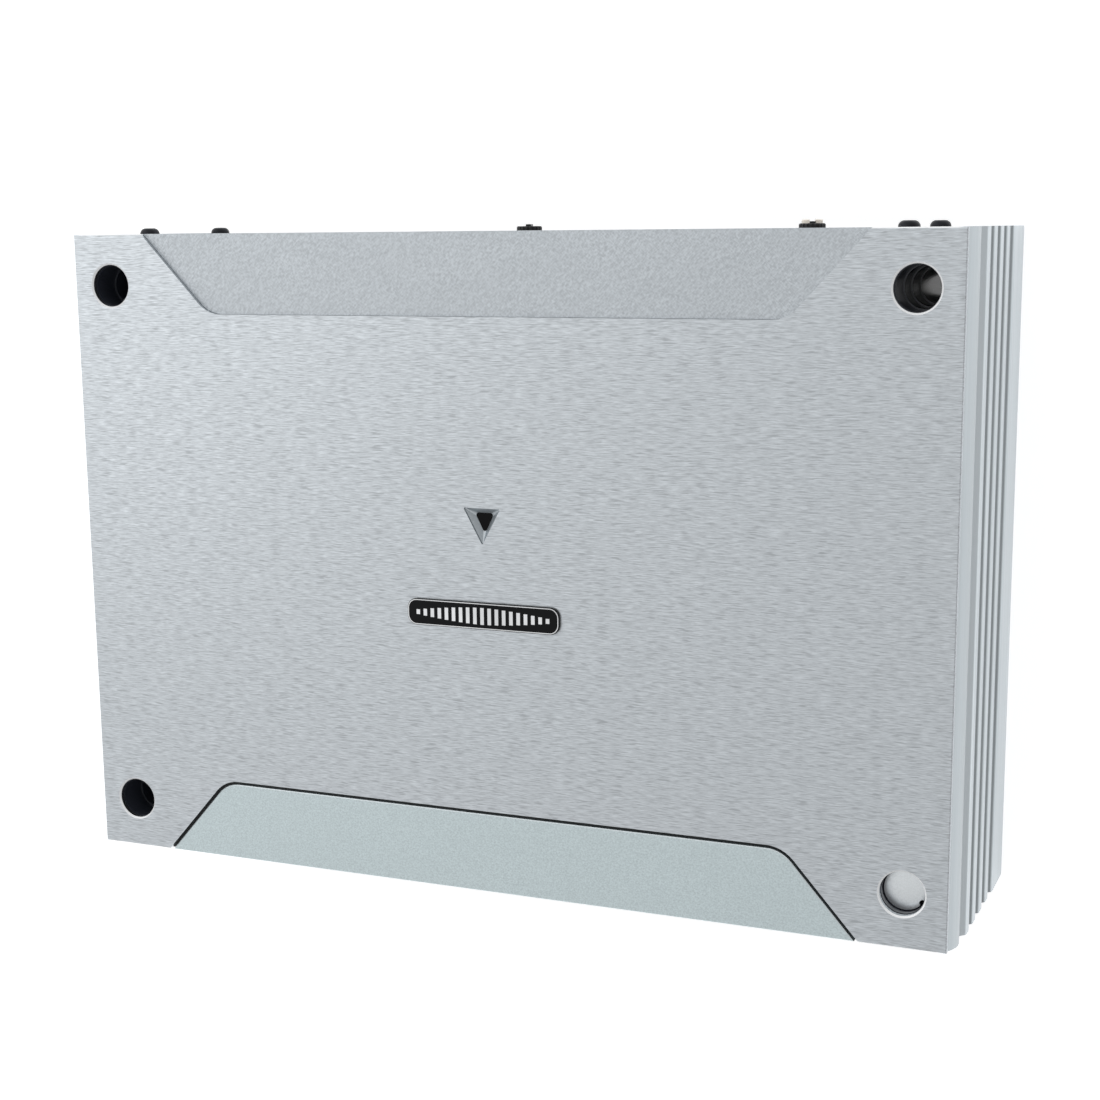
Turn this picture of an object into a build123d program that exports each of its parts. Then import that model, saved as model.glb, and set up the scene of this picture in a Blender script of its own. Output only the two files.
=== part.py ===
"""Car amplifier: an extruded aluminium heatsink body with a brushed face plate.

It lies on its mounting face. +X runs along the long side, +Y points to the control end,
-Y to the power end, and +Z out of the brushed face. The origin is the centre of the mounting face.
All sizes are in millimetres.
"""

from build123d import *
import math
import os

# ---------------------------------------------------------------- driving dimensions
face_width = 230.0  # brushed face, along X
face_length = 163.0  # brushed face, along Y
body_height = 60.0  # mounting face to brushed face
plate_thickness = 1.5
adhesive_thickness = 0.2
end_y = face_length / 2

# Heatsink section
chassis_top = body_height - plate_thickness - adhesive_thickness
flange_edge_x = face_width / 2 - 0.3
flange_crown_x = face_width / 2 + 1.2
flange_heel_x = face_width / 2 + 0.6
flange_crown_drop = 5.0  # all drops are measured down from the brushed face
flange_heel_drop = 10.4
step_root_x = face_width / 2 - 0.6
step_root_drop = 11.3
step_tip_drop = 14.0
rib_tip_x = face_width / 2 + 1.8
foot_crown_x = face_width / 2 + 2.0
foot_crown_drop = 47.0
groove_count = 4
groove_pitch = 8.0
first_groove_drop = 19.4
groove_width = 3.0
groove_depth = 3.0
rib_round = 1.1
groove_root_round = 0.6
roof_thickness = 2.8
wall_inner_x = 110.9
roof_inner_z = chassis_top - roof_thickness

# Corner mounting holes
mount_hole_x = 104.4
mount_hole_y = 68.5
access_hole_radius = 5.33
access_hole_chamfer = 0.42
sleeve_outer_radius = 6.3
sleeve_bore_steps = ((50.5, 5.2), (44.0, 4.9), (36.0, 4.6), (4.2, 4.3))  # floor of each step, radius
sleeve_bolt_radius = 2.35
plug_radius = 5.05
plug_top_z = 56.3
plug_disc_thickness = 2.2
plug_rim_round = 0.15
plug_skirt_low_z = 50.7
plug_skirt_radius = 4.7
plug_skirt_wall = 0.8
plug_notch_angle = -35.0
plug_notch_radius = 0.8
mount_bolt_radius = 2.25

# Bottom cover and its ledges
cover_thickness = 1.2
cover_half_width = 110.7
cover_half_length = 81.0
ledge_inner_x = 105.0
ledge_height = 5.0
cover_screw_x = 107.9
cover_screw_ys = (-45.0, 0.0, 45.0)
bead_ys = (-34.0, 0.0, 34.0)
bead_length = 160.0
bead_width = 7.0
bead_depth = 0.45

# End panels and their screws
panel_thickness = 1.5
panel_outer_y = end_y - 0.5
panel_inner_y = panel_outer_y - panel_thickness
panel_half_width = 110.6
panel_screw_x = 99.7
panel_screw_zs = (14.4, 48.0)
panel_boss_radius = 3.2
screw_head_radius = 2.5
screw_head_height = 1.95
screw_head_round = 1.4
recess_half_length = 1.3
recess_half_width = 0.3
recess_depth = 0.9
screw_shank_radius = 1.25
tapped_hole_radius = 1.3
clearance_hole_radius = 1.7

# Face trapezoids: half widths at the edge and at the inner line, and how far they reach inwards
upper_edge_half = 94.3
upper_line_half = 75.4
upper_reach = 20.05
upper_recess = 1.0
lower_edge_half = 94.0
lower_line_half = 75.9
lower_reach = 20.55
lower_gap = 0.85
lower_recess = 0.1
trapezoid_round = 8.5

# Indicator and badge
indicator_y = 12.0
indicator_half_width = 4.85
indicator_top_y = 15.65
indicator_tip_y = 6.7
window_half_width = 2.6
window_top_y = 14.35
window_tip_y = 9.15
window_round = 0.6
bezel_drop = 0.45
window_drop = 1.7
light_pipe_radius = 1.5
badge_y = -10.8
badge_width = 40.7
badge_height = 6.7
badge_thickness = 0.8
badge_round = 2.5

# Circuit board hanging under the roof
board_top = 44.5
board_thickness = 1.6
board_bottom = board_top - board_thickness
board_half_width = 110.0
board_half_length = 78.5
board_neck_half_width = 96.5
board_shoulder_y = 61.0
standoff_places = ((-90, -50), (-90, 0), (-90, 50), (0, -50), (0, 50), (90, -50), (90, 0), (90, 50))
standoff_flats = 5.5
standoff_stud_radius = 1.5
standoff_stud_length = 2.3

# Power devices clamped to the side walls
device_ys = (-40, -20, 0, 20, 40)
clamp_screw_ys = (-30, -10, 10, 30)
clamp_screw_z = 28.6
pad_thickness = 0.3
device_width = 10.2
device_thickness = 4.4
device_bottom = 23.5
device_top = 39.0

# Controls and sockets at the control end
control_z = 36.0
knob_xs = {"gain_knob": 3.0, "filter_knob": 74.4}
knob_radius = 3.1
knob_rest_angle = 18.0  # of the pointer, from straight up towards +X
knob_face_y = 82.5
pointer_width = 1.3
pointer_height = 0.45
cap_radius = 2.45
cap_height = 0.9
knob_back_y = 74.2
knob_shaft_radius = 1.5
running_clearance = 0.05
switch_xs = {"phase_switch_lever": 26.0, "filter_switch_lever": 50.0}
switch_travel = 4.0
lever_width = 3.6
lever_height = 2.6
lever_tip_y = 81.3
rca_xs = (-36.5, -21.5)
rca_z = 32.0
rca_collar_radius = 4.15
rca_collar_bore = 3.5
rca_flange_radius = 4.7
rca_pin_bore = 1.62
rca_pocket = (-44.5, -13.5, 71.5, 23.5, 40.5)  # x low, x high, floor y, z low, z high
speaker_socket_cavity = (-69.0, -53.0, 70.0, 30.0, 40.0)
remote_jack_cavity = (-88.2, -78.6, 69.0, 31.2, 38.6)

# Terminals and fuses at the power end
power_pole_xs = {"ground": -82.0, "remote": -68.0, "battery": -54.0}
speaker_pole_xs = {"speaker_plus": 52.0, "speaker_minus": 66.0}
pole_pitch = 14.0
block_low_z = 14.0
block_top_z = 36.0
block_tip_y = -90.5
block_back_y = -66.0
block_wall_y = -89.3
pole_y = -85.0
cell_width = 11.2
cell_low_z = 15.2
cell_top_z = 32.6
cell_back_y = -80.2
wire_entry_width = 9.0
wire_entry_low_z = 16.8
wire_entry_top_z = 23.4
terminal_screw_radius = 2.4
terminal_head_radius = 3.9
terminal_head_height = 2.2
hex_socket_flats = 4.0
bus_bar_half_width = 4.0
bus_bar_low_z = 23.5
bus_bar_top_z = 24.7
bus_riser_y = -70.0
bus_riser_thickness = 0.9
cage_half_width = 5.3
cage_half_length = 3.6
cage_low_z = 15.6
cage_high_z = 26.7
cage_floor = 1.2
cage_roof = 1.8
cage_side = 1.05
fuse_zs = {"upper_fuse": 34.0, "lower_fuse": 26.0}
fuse_width = 19.1
fuse_thickness = 5.1
fuse_tip_y = -88.5
fuse_seat_y = -76.2
fuse_blade_end_y = -69.2
holder_face_y = -82.5


# ---------------------------------------------------------------- helpers
def block(x_low, x_high, y_low, y_high, z_low, z_high):
    """A box given by its lowest and highest corners."""
    size = (x_high - x_low, y_high - y_low, z_high - z_low)
    centre = ((x_low + x_high) / 2, (y_low + y_high) / 2, (z_low + z_high) / 2)
    return Pos(*centre) * Box(*size)


def rod_z(radius, x, y, z_low, z_high):
    """A cylinder along Z."""
    return Pos(x, y, (z_low + z_high) / 2) * Cylinder(radius, z_high - z_low)


def rod_y(radius, x, z, y_low, y_high):
    """A cylinder along Y."""
    return Pos(x, (y_low + y_high) / 2, z) * Rot(90, 0, 0) * Cylinder(radius, y_high - y_low)


def rod_x(radius, y, z, x_low, x_high):
    """A cylinder along X."""
    return Pos((x_low + x_high) / 2, y, z) * Rot(0, 90, 0) * Cylinder(radius, x_high - x_low)


def cone_z(low_radius, high_radius, x, y, z_low, z_high):
    """A cone or tapered hole along Z."""
    return Pos(x, y, (z_low + z_high) / 2) * Cone(low_radius, high_radius, z_high - z_low)


def corners(x, y):
    """The four mirrored places of one point."""
    return [(sx * x, sy * y) for sx in (-1, 1) for sy in (-1, 1)]


def prism(sketch, z_low, z_high):
    """A flat outline raised from one level to another."""
    return extrude(Pos(0, 0, z_low) * sketch, amount=z_high - z_low)


def cut_all(solid, tools):
    """Cut every tool from a solid."""
    for tool in tools:
        solid = solid - tool
    return solid


def dome_screw_y(x, z, seat_y, direction, shank_length):
    """A pan-head screw whose head stands on seat_y and points along direction (+1 or -1) in Y."""
    head = Pos(x, seat_y, z) * Rot(-90 * direction, 0, 0) * Pos(0, 0, screw_head_height / 2)
    head = head * Cylinder(screw_head_radius, screw_head_height)
    rim = head.edges().filter_by(GeomType.CIRCLE).sort_by(Axis.Y)[-1 if direction > 0 else 0]
    head = fillet(rim, screw_head_round)
    ends = sorted((seat_y, seat_y - direction * shank_length))
    tip_y = seat_y + direction * screw_head_height
    low_y, high_y = tip_y - recess_depth, tip_y + recess_depth
    length, width = recess_half_length, recess_half_width
    cross = block(x - length, x + length, low_y, high_y, z - width, z + width)
    cross = cross + block(x - width, x + width, low_y, high_y, z - length, z + length)
    return head + rod_y(screw_shank_radius, x, z, *ends) - cross


# ---------------------------------------------------------------- heatsink and covers
def heatsink_section():
    """Closed outer section of the heatsink in X (across) and Z (drawn as Y), both sides."""
    def level(drop):
        return body_height - drop

    last_groove_drop = first_groove_drop + (groove_count - 1) * groove_pitch
    foot_top = level(last_groove_drop + groove_width / 2)
    with BuildSketch() as half:
        with BuildLine():
            Polyline((0, 0), (rib_tip_x, 0), (foot_crown_x, level(foot_crown_drop)), (rib_tip_x, foot_top),
                     (rib_tip_x, level(step_tip_drop)), (step_root_x, level(step_root_drop)),
                     (step_root_x, level(flange_heel_drop)), (flange_heel_x, level(flange_heel_drop)))
            ThreePointArc((flange_heel_x, level(flange_heel_drop)), (flange_crown_x, level(flange_crown_drop)),
                          (flange_edge_x, chassis_top))
            Polyline((flange_edge_x, chassis_top), (0, chassis_top), (0, 0))
        make_face()
    outline = half.sketch
    for index in range(groove_count):
        drop = first_groove_drop + index * groove_pitch
        mouth_x = rib_tip_x + 1.0
        groove = Pos(mouth_x - (groove_depth + 1.0) / 2, level(drop))
        outline = outline - groove * Rectangle(groove_depth + 1.0, groove_width)

    def is_tip(vertex):
        return vertex.X > rib_tip_x - 0.2 and vertex.Y < level(step_tip_drop) + 0.2 and vertex.Y > 1

    def is_root(vertex):
        return abs(vertex.X - (rib_tip_x - groove_depth)) < 0.01

    outline = fillet(outline.vertices().filter_by(is_tip), rib_round)
    outline = fillet(outline.vertices().filter_by(is_root), groove_root_round)
    return outline + mirror(outline, Plane.YZ)


def make_heatsink():
    section = heatsink_section()
    section = section - Pos(0, roof_inner_z / 2) * Rectangle(2 * wall_inner_x, roof_inner_z)
    upper_z = panel_screw_zs[1]
    lower_z = panel_screw_zs[0]
    for side in (-1, 1):
        ledge_x = side * (ledge_inner_x + wall_inner_x) / 2
        ledge_z = cover_thickness + ledge_height / 2
        section = section + Pos(ledge_x, ledge_z) * Rectangle(wall_inner_x - ledge_inner_x, ledge_height)
        web_height = roof_inner_z - upper_z
        section = section + Pos(side * panel_screw_x, upper_z + web_height / 2) * Rectangle(2.4, web_height)
        web_width = wall_inner_x - panel_screw_x
        section = section + Pos(side * (panel_screw_x + web_width / 2), lower_z) * Rectangle(web_width, 2.0)
        for z in panel_screw_zs:
            section = section + Pos(side * panel_screw_x, z) * Circle(panel_boss_radius)
            section = section - Pos(side * panel_screw_x, z) * Circle(tapped_hole_radius)
    body = extrude(Plane.XZ * section, amount=face_length / 2, both=True)
    tools = []
    for side in (-1, 1):
        y_low, y_high = sorted((side * (panel_inner_y - 0.05), side * (end_y + 1)))
        tools.append(block(-wall_inner_x, wall_inner_x, y_low, y_high, -1, roof_inner_z))
        for y in cover_screw_ys:
            tools.append(rod_z(tapped_hole_radius, side * cover_screw_x, y, 0, cover_thickness + ledge_height))
        for y in clamp_screw_ys:
            x_low, x_high = sorted((side * wall_inner_x, side * 115.4))
            tools.append(rod_x(tapped_hole_radius, y, clamp_screw_z, x_low, x_high))
    for x, y in corners(mount_hole_x, mount_hole_y):
        tools.append(rod_z(sleeve_outer_radius + 0.1, x, y, -1, body_height))
    for x, y in standoff_places:
        tools.append(rod_z(standoff_stud_radius + 0.05, x, y, roof_inner_z - 1, roof_inner_z + 2.4))
    tools.append(prism(indicator_outline(0.1), roof_inner_z - 1, body_height))
    return cut_all(body, tools)


def make_bottom_cover():
    """Flat steel cover with shallow pressed beads."""
    cover = block(-cover_half_width, cover_half_width, -cover_half_length, cover_half_length, 0, cover_thickness)
    tools = []
    for x, y in corners(mount_hole_x, mount_hole_y):
        tools.append(rod_z(mount_bolt_radius, x, y, -1, cover_thickness + 1))
    for side in (-1, 1):
        for y in cover_screw_ys:
            tools.append(cone_z(2.9, 1.65, side * cover_screw_x, y, 0, cover_thickness))
    for y in bead_ys:
        tools.append(prism(Pos(0, y) * SlotOverall(bead_length, bead_width), -1, bead_depth))
    return cut_all(cover, tools)


def make_cover_screws():
    screws = []
    for side in (-1, 1):
        for y in cover_screw_ys:
            x = side * cover_screw_x
            head = cone_z(2.8, screw_shank_radius, x, y, 0.05, cover_thickness)
            shank = rod_z(screw_shank_radius, x, y, cover_thickness, 5.8)
            cross = block(x - 1.5, x + 1.5, y - 0.3, y + 0.3, 0, 0.8)
            cross = cross + block(x - 0.3, x + 0.3, y - 1.5, y + 1.5, 0, 0.8)
            screws.append(head + shank - cross)
    return screws


def make_end_panel(side, windows):
    """Inset end panel on the +Y (side 1) or -Y (side -1) end, with its windows cut."""
    y_low, y_high = sorted((side * panel_inner_y, side * panel_outer_y))
    z_low = cover_thickness + 0.2
    panel = block(-panel_half_width, panel_half_width, y_low, y_high, z_low, roof_inner_z - 0.3)
    tools = list(windows)
    for x in (-panel_screw_x, panel_screw_x):
        for z in panel_screw_zs:
            tools.append(rod_y(clearance_hole_radius, x, z, y_low - 1, y_high + 1))
    return cut_all(panel, tools)


def make_panel_screws():
    screws = []
    for side in (-1, 1):
        for x in (-panel_screw_x, panel_screw_x):
            for z in panel_screw_zs:
                screws.append(dome_screw_y(x, z, side * panel_outer_y, side, 6.5))
    return screws


def make_sleeves():
    """Moulded guides that lead the mounting screw and its driver down to the bottom cover."""
    sleeves = []
    top_z = chassis_top - 0.05
    for x, y in corners(mount_hole_x, mount_hole_y):
        sleeve = rod_z(sleeve_outer_radius, x, y, cover_thickness, top_z)
        step_top = top_z + 1
        for floor_z, radius in sleeve_bore_steps:
            sleeve = sleeve - rod_z(radius, x, y, floor_z, step_top)
            step_top = floor_z + 0.01
        sleeves.append(sleeve - rod_z(sleeve_bolt_radius, x, y, 0, 10))
    return sleeves


def make_sleeve_plug():
    """Press-in cap that closes one mounting hole, with a notch in its rim for prying it out."""
    x, y = mount_hole_x, -mount_hole_y
    disc_low_z = plug_top_z - plug_disc_thickness
    disc = rod_z(plug_radius, x, y, disc_low_z, plug_top_z)
    disc = fillet(disc.edges().sort_by(Axis.Z)[-1], plug_rim_round)
    angle = math.radians(plug_notch_angle)
    notch_x, notch_y = x + plug_radius * math.cos(angle), y + plug_radius * math.sin(angle)
    notch = rod_z(plug_notch_radius, notch_x, notch_y, disc_low_z - 1, plug_top_z + 1)
    skirt = rod_z(plug_skirt_radius, x, y, plug_skirt_low_z, disc_low_z + 0.1)
    skirt = skirt - rod_z(plug_skirt_radius - plug_skirt_wall, x, y, plug_skirt_low_z - 1, disc_low_z)
    return disc + skirt - notch


# ---------------------------------------------------------------- face
def trapezoid(edge_half, line_half, reach, side, growth):
    """Outline from the end edge inwards, its two inner corners rounded. growth widens it."""
    line_y = side * (end_y - reach)
    far_y = side * (end_y + 10)
    run = (edge_half - line_half) / reach
    far_half = edge_half + run * 10
    with BuildSketch() as outline:
        with BuildLine():
            Polyline((-far_half, far_y), (-line_half, line_y), (line_half, line_y), (far_half, far_y),
                     close=True)
        make_face()
        inner = outline.vertices().filter_by(lambda vertex: abs(vertex.Y - line_y) < 0.1)
        fillet(inner, trapezoid_round)
        if growth:
            offset(amount=growth)
    beyond = Pos(0, side * (end_y + 20)) * Rectangle(4 * edge_half, 40)
    return outline.sketch - beyond


def indicator_outline(growth):
    """Downward triangle of the indicator bezel."""
    with BuildSketch() as outline:
        with BuildLine():
            Polyline((-indicator_half_width, indicator_top_y), (0, indicator_tip_y),
                     (indicator_half_width, indicator_top_y), close=True)
        make_face()
        fillet(outline.vertices(), 0.25)
        offset(amount=growth)
    return outline.sketch


def window_outline(growth):
    """Smaller triangle with round corners: the indicator's dark window."""
    with BuildSketch() as outline:
        with BuildLine():
            Polyline((-window_half_width, window_top_y), (0, window_tip_y),
                     (window_half_width, window_top_y), close=True)
        make_face()
        fillet(outline.vertices(), window_round)
        if growth:
            offset(amount=growth)
    return outline.sketch


def make_face_plate():
    plate = block(-face_width / 2, face_width / 2, -end_y, end_y, body_height - plate_thickness, body_height)
    plate = chamfer(plate.edges().filter_by(Axis.Z, reverse=True).group_by(Axis.Z)[-1], 0.25)
    tools = []
    low_z = body_height - plate_thickness - 1
    for x, y in corners(mount_hole_x, mount_hole_y):
        tools.append(rod_z(access_hole_radius, x, y, low_z, body_height + 1))
        wide = access_hole_radius + access_hole_chamfer
        tools.append(cone_z(access_hole_radius, wide, x, y, body_height - access_hole_chamfer, body_height))
    upper = trapezoid(upper_edge_half, upper_line_half, upper_reach, 1, 0.0)
    lower = trapezoid(lower_edge_half, lower_line_half, lower_reach, -1, lower_gap / 2)
    tools.append(prism(upper, low_z, body_height + 1))
    tools.append(prism(lower, low_z, body_height + 1))
    tools.append(prism(indicator_outline(0.05), low_z, body_height + 1))
    return cut_all(plate, tools)


def make_adhesive_sheet():
    half_width = face_width / 2 - 0.5
    z_low = chassis_top
    z_high = chassis_top + adhesive_thickness
    sheet = block(-half_width, half_width, -end_y + 0.1, end_y - 0.1, z_low, z_high)
    tools = [prism(indicator_outline(0.1), z_low - 1, z_high + 1)]
    for x, y in corners(mount_hole_x, mount_hole_y):
        tools.append(rod_z(access_hole_radius + 0.3, x, y, z_low - 1, z_high + 1))
    return cut_all(sheet, tools)


def make_upper_inlay():
    outline = trapezoid(upper_edge_half, upper_line_half, upper_reach, 1, -0.05)
    return prism(outline, body_height - plate_thickness, body_height - upper_recess)


def make_lower_inlay():
    outline = trapezoid(lower_edge_half, lower_line_half, lower_reach, -1, -lower_gap / 2)
    inlay = prism(outline, body_height - plate_thickness, body_height - lower_recess)
    return chamfer(inlay.faces().sort_by(Axis.Z)[-1].edges(), 0.2)


def make_bezel():
    """Frame of the indicator: three facets falling to the window."""
    rim_z = body_height - bezel_drop
    floor_z = body_height - window_drop
    bezel = prism(indicator_outline(0.0), floor_z - 1.1, rim_z)
    rim = Pos(0, 0, rim_z) * indicator_outline(-0.12)
    floor = Pos(0, 0, floor_z) * window_outline(0.0)
    dish = loft([rim.face(), floor.face()])
    return bezel - dish - prism(window_outline(0.0), floor_z - 2, floor_z + 0.05)


def make_window():
    floor_z = body_height - window_drop
    return prism(window_outline(-0.05), floor_z - 1.0, floor_z - 0.05)


def make_light_pipe():
    top_z = body_height - window_drop - 1.1
    return rod_z(light_pipe_radius, 0, indicator_y + 0.3, board_top + 1.3, top_z)


def make_badge():
    outline = Pos(0, badge_y) * RectangleRounded(badge_width, badge_height, badge_round)
    badge = prism(outline, body_height, body_height + badge_thickness)
    return fillet(badge.faces().sort_by(Axis.Z)[-1].edges(), 0.3)


# ---------------------------------------------------------------- circuit board and parts on it
def make_board():
    board = block(-board_half_width, board_half_width, -board_shoulder_y, board_shoulder_y,
                  board_bottom, board_top)
    board = board + block(-board_neck_half_width, board_neck_half_width, -board_half_length,
                          board_half_length, board_bottom, board_top)
    holes = [rod_z(clearance_hole_radius, x, y, board_bottom - 1, board_top + 1) for x, y in standoff_places]
    return cut_all(board, holes)


def make_standoffs():
    pillars = []
    for x, y in standoff_places:
        hexagon = Pos(x, y) * RegularPolygon(standoff_flats / 2, 6, major_radius=False)
        pillar = prism(hexagon, board_top, roof_inner_z)
        pillar = pillar + rod_z(standoff_stud_radius, x, y, roof_inner_z, roof_inner_z + standoff_stud_length)
        pillars.append(pillar - rod_z(tapped_hole_radius, x, y, board_top - 1, board_top + 7))
    return pillars


def make_board_screws():
    screws = []
    for x, y in standoff_places:
        head = rod_z(2.75, x, y, board_bottom - 1.8, board_bottom)
        head = fillet(head.edges().filter_by(GeomType.CIRCLE).sort_by(Axis.Z)[0], 0.8)
        shank = rod_z(screw_shank_radius, x, y, board_bottom, board_top + 5.5)
        cross = block(x - 1.5, x + 1.5, y - 0.3, y + 0.3, board_bottom - 3, board_bottom - 1.0)
        screws.append(head + shank - cross)
    return screws


def ring_core(x, y, z, inner, outer, height):
    core = rod_z(outer, x, y, z - height / 2, z + height / 2)
    core = fillet(core.edges().filter_by(GeomType.CIRCLE), 0.8)
    return core - rod_z(inner, x, y, z - height, z + height)


def ring_winding(x, y, z, inner, outer, height, wire, open_degrees):
    """The wound part of a ring core: a thick skin round the core, open over a short stretch."""
    width = outer - inner + 2 * wire
    section = Pos((outer + inner) / 2, 0) * RectangleRounded(width, height + 2 * wire, wire * 0.9)
    skin = revolve(Plane.XZ * section, Axis.Z, revolution_arc=360 - open_degrees)
    skin = Pos(x, y, z) * skin
    return skin - ring_core(x, y, z, inner - 0.05, outer + 0.05, height + 0.1)


transformer = {"x": -38.0, "y": 8.0, "z": 33.4, "inner": 12.0, "outer": 20.5, "height": 14.0}
choke = {"x": 44.0, "y": 12.0, "z": 33.8, "inner": 8.0, "outer": 14.5, "height": 14.0}


def make_capacitors():
    """Electrolytic cans, their crimped ends down."""
    cans = []
    large = [(x, -38, 9.0, 30.0) for x in (22, 43, 64)]
    medium = [(x, -38, 8.0, 25.0) for x in (-70, -51, -32)]
    small = [(x, 46, 5.0, 12.5) for x in (14, 28, 42)]
    for x, y, radius, length in large + medium + small:
        can = rod_z(radius, x, y, board_bottom - length, board_bottom - 0.1)
        can = fillet(can.edges().filter_by(GeomType.CIRCLE), 0.8)
        groove = Pos(x, y, board_bottom - length + 3.0) * Torus(radius + 0.3, 0.7)
        cans.append(can - groove)
    return cans


def make_devices(side):
    """Power transistors or rectifiers standing against one side wall."""
    devices = []
    back_x = side * (wall_inner_x - pad_thickness - 0.02)
    front_x = back_x - side * device_thickness
    leg_x = back_x - side * 2.6
    for y in device_ys:
        x_low, x_high = sorted((back_x, front_x))
        half = device_width / 2
        device = block(x_low, x_high, y - half, y + half, device_bottom, device_top)
        for offset_y in (-2.54, 0, 2.54):
            leg = block(leg_x - 0.3, leg_x + 0.3, y + offset_y - 0.45, y + offset_y + 0.45,
                        device_top, board_bottom - 0.02)
            device = device + leg
        devices.append(device)
    return devices


def make_pads():
    pads = []
    for side in (-1, 1):
        x_low, x_high = sorted((side * (wall_inner_x - 0.01), side * (wall_inner_x - pad_thickness)))
        pad = block(x_low, x_high, -48, 48, 21.5, 40.5)
        holes = [rod_x(clearance_hole_radius, y, clamp_screw_z, x_low - 1, x_high + 1) for y in clamp_screw_ys]
        pads.append(cut_all(pad, holes))
    return pads


clamp_face_x = wall_inner_x - pad_thickness - device_thickness - 0.04
clamp_thickness = 2.6


def make_clamp_bars():
    bars = []
    for side in (-1, 1):
        x_low, x_high = sorted((side * clamp_face_x, side * (clamp_face_x - clamp_thickness)))
        bar = block(x_low, x_high, -50, 50, clamp_screw_z - 4, clamp_screw_z + 4)
        holes = [rod_x(clearance_hole_radius, y, clamp_screw_z, x_low - 1, x_high + 1) for y in clamp_screw_ys]
        bars.append(cut_all(bar, holes))
    return bars


def make_clamp_screws():
    screws = []
    head_x = clamp_face_x - clamp_thickness
    for side in (-1, 1):
        for y in clamp_screw_ys:
            x_low, x_high = sorted((side * (head_x - 2.0), side * head_x))
            head = rod_x(2.75, y, clamp_screw_z, x_low, x_high)
            shank_low, shank_high = sorted((side * head_x, side * 115.2))
            screws.append(head + rod_x(screw_shank_radius, y, clamp_screw_z, shank_low, shank_high))
    return screws


def make_chips():
    """Controller chips under the board, and the indicator's light on top of it."""
    chips = []
    for x, y, width, length in ((-70, 46, 10, 7.5), (-50, 50, 7, 10), (62, 46, 12, 8), (80, 20, 7, 9)):
        chip = block(x - width / 2, x + width / 2, y - length / 2, y + length / 2,
                     board_bottom - 2.4, board_bottom - 0.1)
        chips.append(chamfer(chip.edges().filter_by(Axis.Z), 0.3))
    chips.append(block(-1.6, 1.6, indicator_y - 0.7, indicator_y + 1.3, board_top, board_top + 1.2))
    return chips


# ---------------------------------------------------------------- control end
def housing_round_cavity(cavity, wall, back_y, top_z):
    """A moulded socket body: a box round its cavity, open towards +Y."""
    x_low, x_high, floor_y, z_low, z_high = cavity
    body = block(x_low - wall, x_high + wall, back_y, panel_outer_y + 0.3, z_low - wall, top_z)
    return body - block(x_low, x_high, floor_y, end_y + 5, z_low, z_high)


def make_rca_block():
    body = housing_round_cavity(rca_pocket, 1.5, 60.0, board_bottom - 0.05)
    bores = [rod_y(rca_flange_radius + 0.05, x, rca_z, 65.0, 72.0) for x in rca_xs]
    return cut_all(body, bores)


def make_rca_collars():
    """Plug collars, each on a flange held in the block."""
    floor_y = rca_pocket[2]
    collars = []
    for x in rca_xs:
        collar = rod_y(rca_collar_radius, x, rca_z, floor_y - 0.1, 80.6)
        collar = chamfer(collar.edges().filter_by(GeomType.CIRCLE).sort_by(Axis.Y)[-1], 0.3)
        collar = collar + rod_y(rca_flange_radius, x, rca_z, 65.5, floor_y - 0.1)
        collars.append(collar - rod_y(rca_collar_bore, x, rca_z, 65.0, 81.0))
    return collars


def make_rca_insulators():
    rings = []
    for x in rca_xs:
        ring = rod_y(rca_collar_bore - 0.05, x, rca_z, 65.5, 78.8)
        rings.append(ring - rod_y(rca_pin_bore + 0.68, x, rca_z, 65.0, 79.0))
    return rings


def make_rca_contacts():
    tubes = []
    for x in rca_xs:
        tube = rod_y(rca_pin_bore + 0.63, x, rca_z, 65.5, 78.6)
        tubes.append(tube - rod_y(rca_pin_bore, x, rca_z, 67.0, 79.0))
    return tubes


def make_speaker_socket():
    body = housing_round_cavity(speaker_socket_cavity, 1.4, 62.0, board_bottom - 0.05)
    key = block(-62.5, -59.5, 72.0, end_y + 5, 39.9, 41.2)
    return cut_all(body, [key] + [pin_block(x, z, 0.05, 69.0, 71.0) for x, z in speaker_pin_places()])


def speaker_pin_places():
    return [(-66.25 + 3.5 * column, 33.0 + 4.0 * row) for column in range(4) for row in range(2)]


def pin_block(x, z, growth, y_low, y_high):
    half = 0.5 + growth
    return block(x - half, x + half, y_low, y_high, z - half, z + half)


def make_speaker_pins():
    return [pin_block(x, z, 0.0, 69.1, 76.5) for x, z in speaker_pin_places()]


def make_remote_jack():
    body = housing_round_cavity(remote_jack_cavity, 1.8, 66.0, board_bottom - 0.05)
    latch_slot = block(-86.4, -80.4, 72.0, end_y + 5, 29.9, 31.3)
    return body - latch_slot


def make_pots():
    """Rotary control bodies, each with a bore for the knob's shaft."""
    bodies = []
    for x in knob_xs.values():
        body = block(x - 4.8, x + 4.8, 62.0, 73.6, 30.6, board_bottom - 0.05)
        body = chamfer(body.edges().filter_by(Axis.Y), 0.4)
        bodies.append(body - rod_y(knob_shaft_radius + running_clearance, x, control_z, 65.0, 75.0))
    return bodies


def knob_turned(solid, x):
    """A knob's solid, drawn with its pointer straight up, turned to its rest angle."""
    return Pos(x, 0, control_z) * Rot(0, knob_rest_angle, 0) * Pos(-x, 0, -control_z) * solid


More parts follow.
